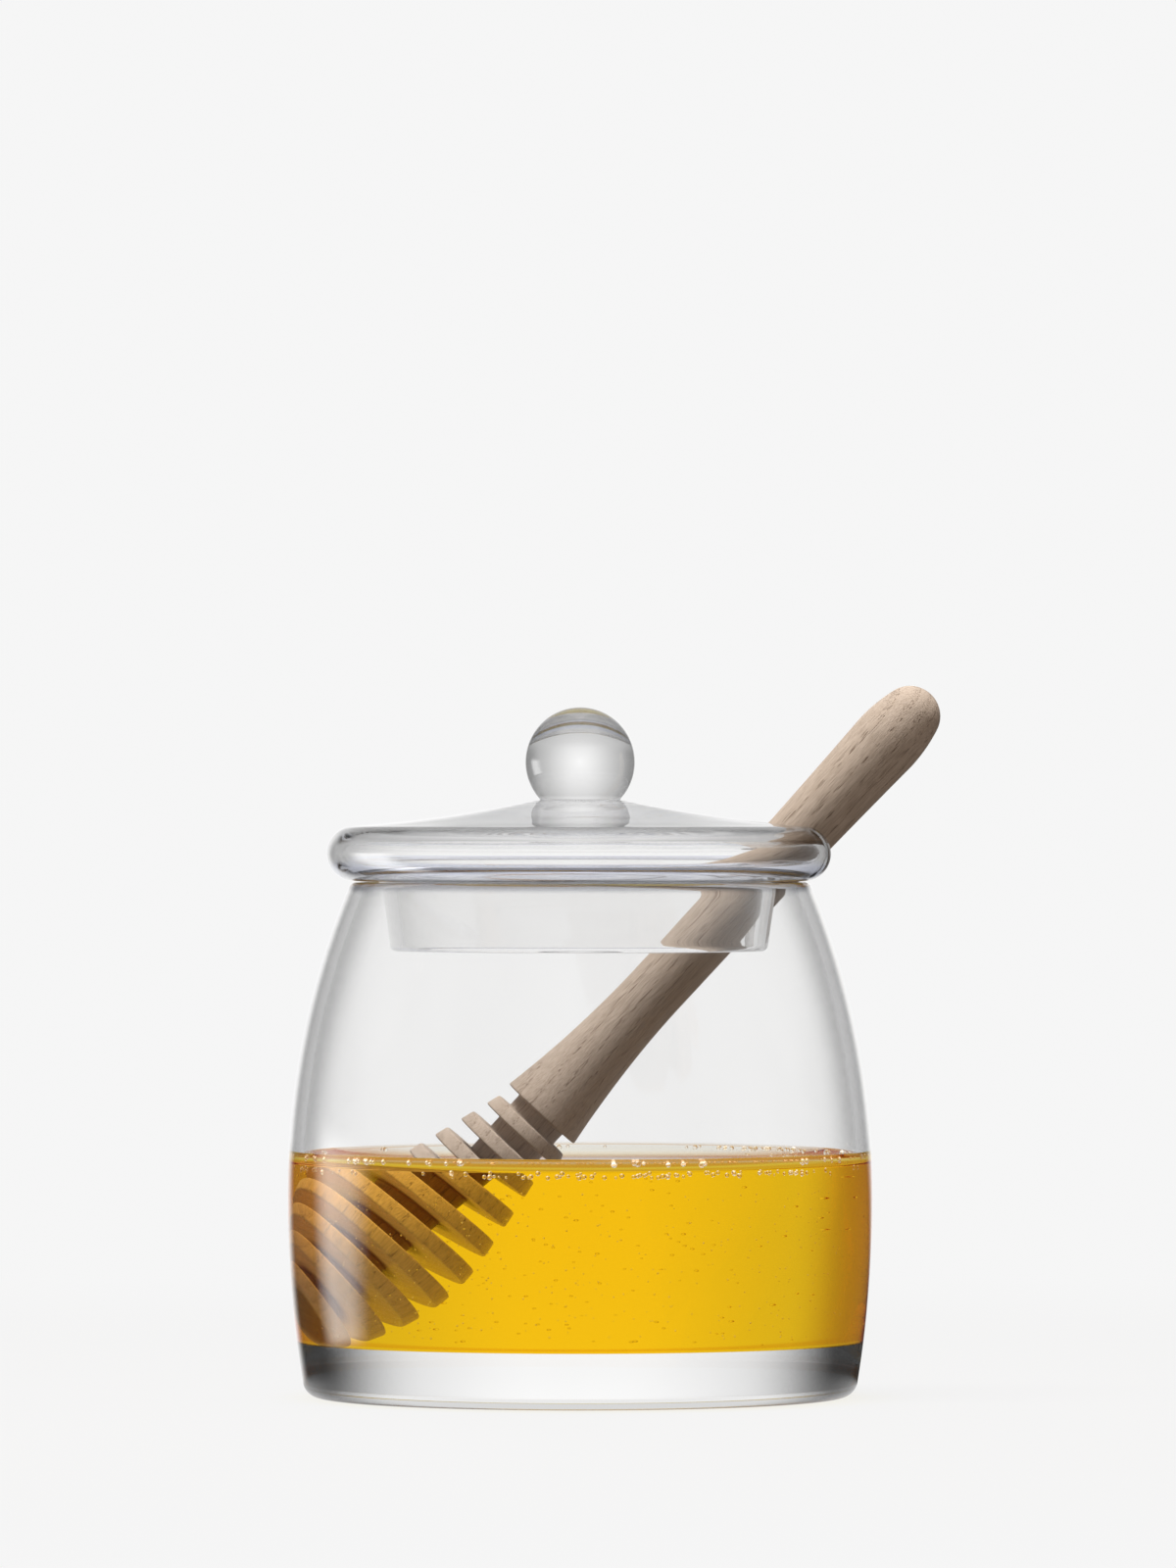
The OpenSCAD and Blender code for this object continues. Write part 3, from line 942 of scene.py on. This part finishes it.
wood = fibres.colour(FIBRE_DARK, FIBRE_PALE)
for share, tone in [
        (patches * 0.3, PATCH), (early * 0.25, EARLY_WOOD), (flecks * 0.15, FLECK), (pores * 0.8, PORE)]:
    wood = share.colour(wood, tone)
soaked = 1 - place.part("Z").smooth(level - 0.4 * MM, level + 0.8 * MM)
axis_at = lean @ collar
off_axis = along.times(LEVEL).vector("SUBTRACT", (axis_at[0], axis_at[1], 0)).length()
on_discs = off_axis.smooth(CORE_R + 0.3 * MM, CORE_R + 3 * MM)
oak_surface = root.node("ShaderNodeBsdfPrincipled", {}, {
    "Base Color": soaked.colour(wood, wood.tinted(STEEPED)),
    "Roughness": pores * 0.25 + 0.55 - soaked * 0.3,
    "IOR": OAK_INDEX,
    "Normal": (fibres * 0.25 - pores).bump(GRAIN_DEPTH),
    # painted light: a glow on the discs under the honey stands for light that the honey scatters
    "Emission Color": (soaked * on_discs).colour(BLACK, wood.tinted(PAINTED_GLOW_TINT)),
    "Emission Strength": PAINTED_HONEY_GLOW})
oak_surface.into(output.inputs["Surface"])
dipper.data.materials.append(oak)
print("oak glows in honey by", PAINTED_HONEY_GLOW)

# %% [markdown]
# ## Where bubbles gather
# Air comes into honey with the dipper and rises slowly. Bubbles gather in a ring where the surface
# meets the glass, and in another just under it, more at some places than at others. Fine specks still
# hang in the honey. A particle system could scatter them, but seeded arrays give the same places on
# every run.

# %% Bubble places
RIM_COUNT, UNDER_COUNT, SPECK_COUNT = 110, 150, 900
COUNTS = [RIM_COUNT, UNDER_COUNT, SPECK_COUNT]
CLUSTERS, CLUSTER_SPREAD = 16, 0.16
rng = np.random.default_rng(11)


def clustered(count):
    """Angles round the pot that gather in clusters: a random middle plus a normal spread."""
    middles = rng.uniform(0, 2 * np.pi, CLUSTERS)
    return middles[rng.integers(0, CLUSTERS, count)] + rng.normal(0, CLUSTER_SPREAD, count)


def drawn(*spans):
    """A random number in its own kind's span for each bubble: at the rim, under it, and specks."""
    return np.concatenate([rng.uniform(*span, count) for span, count in zip(spans, COUNTS)])


bubble_a = np.concatenate([
    clustered(RIM_COUNT), clustered(UNDER_COUNT), rng.uniform(0, 2 * np.pi, SPECK_COUNT)])
bubble_size = drawn((0.3, 0.6), (0.2, 0.45), (0.09, 0.17)) * MM
bubble_z = np.concatenate([
    level + rng.uniform(1.6, 2.0, RIM_COUNT) * MM,
    level - rng.uniform(-0.3, 0.5, UNDER_COUNT) * MM,
    rng.uniform(BASE + 2 * MM, level - 3 * MM, SPECK_COUNT)])
bubble_in = drawn((0.02, 0.1), (0.05, 0.3), (0.3, 14)) * MM
bubble_r = wall_inside(bubble_z) - bubble_size - bubble_in
bubble_out = np.stack([np.cos(bubble_a), np.sin(bubble_a), 0 * bubble_a], axis=1)
bubble_c = bubble_out * bubble_r[:, None] + bubble_z[:, None] * np.array([0, 0, 1])
print("bubbles:", len(bubble_c))

# %% [markdown]
# ## Bubbles
# Each bubble is the same small ball of a few dozen faces, moved and sized as one array. A bubble is too
# small for the light's mirror image to show, so each point carries a number that says how far it faces
# the light, and the material makes a glint of it.

# %% Bubble surfaces
BALL_RINGS, BALL_AROUND = 6, 8
GLINT_WAY = np.array([-0.35, 0.0, 0.94])
GLINT_OUT = 0.6
GLINT_SHARES = [1.0, 0.85, 0.0]


def ball(rings, around):
    """A small ball of radius 1: (sin p cos a, sin p sin a, cos p)."""
    p, a = np.meshgrid(
        np.linspace(0, np.pi, rings), np.linspace(0, 2 * np.pi, around + 1), indexing="ij")
    points = np.stack([np.sin(p) * np.cos(a), np.sin(p) * np.sin(a), np.cos(p)], axis=-1)
    return points.reshape(-1, 3), grid_faces(rings, around + 1)


ball_points, ball_faces = ball(BALL_RINGS, BALL_AROUND)
bubble_points = bubble_c[:, None] + bubble_size[:, None, None] * ball_points
bubble_starts = np.arange(len(bubble_c))[:, None, None] * len(ball_points)
bubble_faces = (bubble_starts + ball_faces).reshape(-1, 4)
glint_way = bubble_out * GLINT_OUT + GLINT_WAY
glint_way /= np.linalg.norm(glint_way, axis=1, keepdims=True)
glints = (glint_way @ ball_points.T) * np.repeat(GLINT_SHARES, COUNTS)[:, None]
bubbles = make_piece("honey_bubbles", bubble_points.reshape(-1, 3), bubble_faces, "pot", "honey",
                     marks={"glint": glints.reshape(-1)})

# %% Bubble material
BUBBLE_INDEX = 1.4
BUBBLE_WARM, GLINT_COLOUR = (1, 0.95, 0.85, 1), (1, 0.98, 1, 1)
GLINT_STRENGTH = 0.75

bubble_air, root, output = new_material("bubble_air")
place = root.node("ShaderNodeTexCoord", out="Object")
glint = root.node("ShaderNodeAttribute", {"attribute_name": "glint"}, out="Fac").smooth(0.62, 0.9)
clear_to_lamps(root, output, clear_shader(
    root, BUBBLE_INDEX, place.noise(900.0, 1.0).colour(WHITE, BUBBLE_WARM),
    **{"Emission Color": glint.colour(BLACK, GLINT_COLOUR), "Emission Strength": GLINT_STRENGTH}))
bubbles.data.materials.append(bubble_air)
print("glints of strength", GLINT_STRENGTH)

# %% [markdown]
# ## What glass sees
# Glass shows what is round it, so it is lit by its surroundings. A white field behind it draws it
# bright, darker sides draw its edges grey, and a soft upright panel at the left puts a streak on the
# wall. Real studios stand white and black boards round the glass. Here each direction of the world has
# its own strength, one for light that comes through glass and one for light that it mirrors.

# %% Fields round the glass
BACK, FRONT, RIGHT, LEFT = (0, 1, 0), (0, -1, 0), (1, 0, 0), (-1, 0, 0)
# A field's way, the angle to which it is full, the angle where it ends, and its strength.
FIELDS = [
    (BACK, 30, 78, 0.57), (BACK, 4, 34, 0.2), (FRONT, 30, 78, 0.35), (FRONT, 4, 34, 0.1),
    (RIGHT, 10, 44, 0.5), (LEFT, 10, 44, 0.5)]
ROOM, DARK = 0.25, 0.05
PANEL = (-0.937, 0.35, 0.0)
PANEL_GLOW = 4.0
MANY_BOUNCES = 64


def toward(look, way, near, far):
    """1 where the level part of a direction is nearer to way than the near angle, 0 past the far."""
    cosine = look.times(LEVEL).vector("NORMALIZE").vector("DOT_PRODUCT", way, "Value")
    return 1 - look.maths("ARCCOSINE", cosine).smooth(np.radians(near), np.radians(far))


def seen_through(look):
    """What shows through glass: white fields that fall off to their sides, in a grey room."""
    glow = [toward(look, way, near, far) * share for way, near, far, share in FIELDS]
    return sum(glow, ROOM)


def mirrored_in(look, panel_glow):
    """What glass mirrors: the middle of the white field and one upright panel."""
    return toward(look, BACK, 12, 26) + toward(look, PANEL, 4, 22) * panel_glow + DARK


scene.view_settings.view_transform = "Standard"
scene.cycles.max_bounces = MANY_BOUNCES
scene.cycles.transmission_bounces = MANY_BOUNCES
scene.cycles.glossy_bounces = MANY_BOUNCES
scene.cycles.transparent_max_bounces = MANY_BOUNCES
print("light may bounce", MANY_BOUNCES, "times")

# %% [markdown]
# ## Light for each kind of ray
# The camera sees one pale backdrop. Mirrored rays and rays through glass see the fields. Light that
# falls on the wood is plain and a little warm, and behind glass it is weaker and warmer, as it comes
# off the honey and the lid.

# %% World
BACKDROP = 0.92
AMBIENT, AMBIENT_LOST = 0.29, 0.1
WARM, WARM_INSIDE = (1.0, 0.86, 0.76, 1), (1.0, 0.69, 0.44, 1)
BEHIND_GLASS = (0.5, 2.5)
PANEL_TOP = 0.08
HIGH, HIGH_LOST = (0.06, 0.22), 0.28


def by_ray(root, mirrored, through, through_tone=WHITE):
    """Strength and tone for each kind of ray: mirrored, through glass, or on its way from wood."""
    path = root.node("ShaderNodeLightPath").socket.node
    found = {output.name: Wire(root.tree, output) for output in path.outputs}
    strength = found["Is Glossy Ray"].choose(AMBIENT, mirrored)
    strength = found["Is Transmission Ray"].choose(strength, through)
    on_wood = found["Diffuse Depth"].smooth(*AT_LEAST_ONCE)
    behind_glass = found["Transmission Depth"].smooth(*BEHIND_GLASS)
    tone = found["Is Transmission Ray"].colour(WHITE, through_tone)
    tone = on_wood.colour(tone, behind_glass.colour(WARM, WARM_INSIDE))
    return on_wood.choose(strength, AMBIENT - behind_glass * AMBIENT_LOST), tone


world = bpy.data.worlds.new("world")
scene.world = world
world.use_nodes = True
world.node_tree.nodes.clear()
root = Wire(world.node_tree)
look = root.node("ShaderNodeTexCoord", out="Generated")
height = look.part("Z")
panel_glow = PANEL_GLOW - height.smooth(0.0, PANEL_TOP) * PANEL_GLOW
mirrored = mirrored_in(look, panel_glow) * (1 - height.smooth(*HIGH) * HIGH_LOST)
strength, tone = by_ray(root, mirrored, seen_through(look))
strength = root.node("ShaderNodeLightPath", out="Is Camera Ray").choose(strength, BACKDROP)
sky = root.node("ShaderNodeBackground", {}, {"Color": tone, "Strength": strength})
sky.into(world.node_tree.nodes.new("ShaderNodeOutputWorld").inputs["Surface"])
print("backdrop strength", BACKDROP)

# %% [markdown]
# ## Floor
# The floor is a wide disc just under the pot. To the camera it is a pale surface that keeps a faint
# shadow and runs out into the backdrop. To rays through glass it goes on with the fields, and close to
# the pot a steep or mirrored look finds a painted shade. Under the pot a steep look through the honey
# finds it painted golden: painted light, for the light that comes down through honey.

# %% Floor disc
FLOOR_DROP = -0.3 * MM
FLOOR_RADII = (0, 0.3, 0.9, 6.0)

floor_rings = np.array([(r, FLOOR_DROP) for r in FLOOR_RADII])
floor_points, floor_faces = turned(floor_rings, 64)
floor_mesh = bpy.data.meshes.new("floor")
floor_mesh.from_pydata(floor_points.tolist(), [], floor_faces.tolist())
floor = bpy.data.objects.new("floor", floor_mesh)
scene.collection.objects.link(floor)
print("floor", 2 * FLOOR_RADII[-1], "m across")

# %% Floor material
THROUGH_HONEY = (1.0, 0.88, 0.5, 1)
LOW_NEAR, POT_SHADE, SHADE_FADE = 0.88, 0.7, 0.2
PANEL_FROM = (0.04, 0.028, 0)
SHADOW_TONE = (0.08, 0.08, 0.08, 1)
NEAR_GLOW = 0.785
UNDER_POT, SHADE_END = (0.040, 0.048), (0.045, 0.09)
MIRROR_START, PANEL_START = (0.052, 0.07), (0.085, 0.105)
FIELD_START, BACKDROP_START = (0.2, 0.3), (0.15, 0.5)
STEEP_LOOK, HIGH_LOOK = (0.45, 0.7), (0.12, 0.32)

floor_paint, root, output = new_material("floor")
place = root.node("ShaderNodeTexCoord", out="Object")
away = place.length()
steepness = 1 - slant_of(root)
# painted golden light under the pot, for light that comes down through the honey
under_pot = (1 - away.smooth(*UNDER_POT)) * steepness.smooth(*STEEP_LOOK)
low_view = away.smooth(*FIELD_START).choose(LOW_NEAR, seen_through(place))
# painted shade close to the pot for a steep look through glass
high_view = away.smooth(*SHADE_END) * SHADE_FADE + POT_SHADE
through = steepness.smooth(*HIGH_LOOK).choose(low_view, high_view)
panel = mirrored_in(place.vector("ADD", PANEL_FROM), away.smooth(*PANEL_START) * PANEL_GLOW)
# painted shade close to the pot for a mirrored look
mirrored = away.smooth(*MIRROR_START).choose(POT_SHADE, panel)
strength, tone = by_ray(root, mirrored, through, under_pot.colour(WHITE, THROUGH_HONEY))
unseen = root.node("ShaderNodeEmission", {}, {"Color": tone, "Strength": strength})
near = root.node("ShaderNodeAddShader", {}, {
    0: root.node("ShaderNodeBsdfDiffuse", {}, {"Color": SHADOW_TONE}),
    1: root.node("ShaderNodeEmission", {}, {"Color": WHITE, "Strength": NEAR_GLOW})})
far = root.node("ShaderNodeEmission", {}, {"Color": WHITE, "Strength": BACKDROP})
seen = root.node("ShaderNodeMixShader", {}, {0: away.smooth(*BACKDROP_START), 1: near, 2: far})
to_camera = root.node("ShaderNodeLightPath", out="Is Camera Ray")
ground = root.node("ShaderNodeMixShader", {}, {0: to_camera, 1: unseen, 2: seen})
ground.into(output.inputs["Surface"])
floor_mesh.materials.append(floor_paint)
print("floor strength near the pot", NEAR_GLOW)

# %% [markdown]
# ## Lamps
# A bright field behind the pot can't light the wood, so lamps do that: a soft box over the pot, a
# little in front, and a weak one behind it for the edges. Glass doesn't mirror them, because it has its
# own fields.


# %% Soft boxes
def soft_box(name, place, size, radiance, aim=(0, 0, 0.06)):
    """A panel that lights wood and floor: its power is radiance times pi times area."""
    light = bpy.data.lights.new(name, "AREA")
    light.shape = "RECTANGLE"
    light.size, light.size_y = size
    light.energy = radiance * np.pi * size[0] * size[1]
    lamp = bpy.data.objects.new(name, light)
    lamp.location = place
    lamp.rotation_mode = "QUATERNION"
    lamp.rotation_quaternion = (Vector(aim) - Vector(place)).to_track_quat("-Z", "Y")
    lamp.visible_camera = lamp.visible_glossy = lamp.visible_transmission = False
    scene.collection.objects.link(lamp)


soft_box("box_over", place=(-0.05, -0.17, 1.15), size=(0.5, 0.5), radiance=24.0)
soft_box("box_back", place=(-0.3, 0.9, 0.5), size=(0.4, 0.5), radiance=2.0)

# %% [markdown]
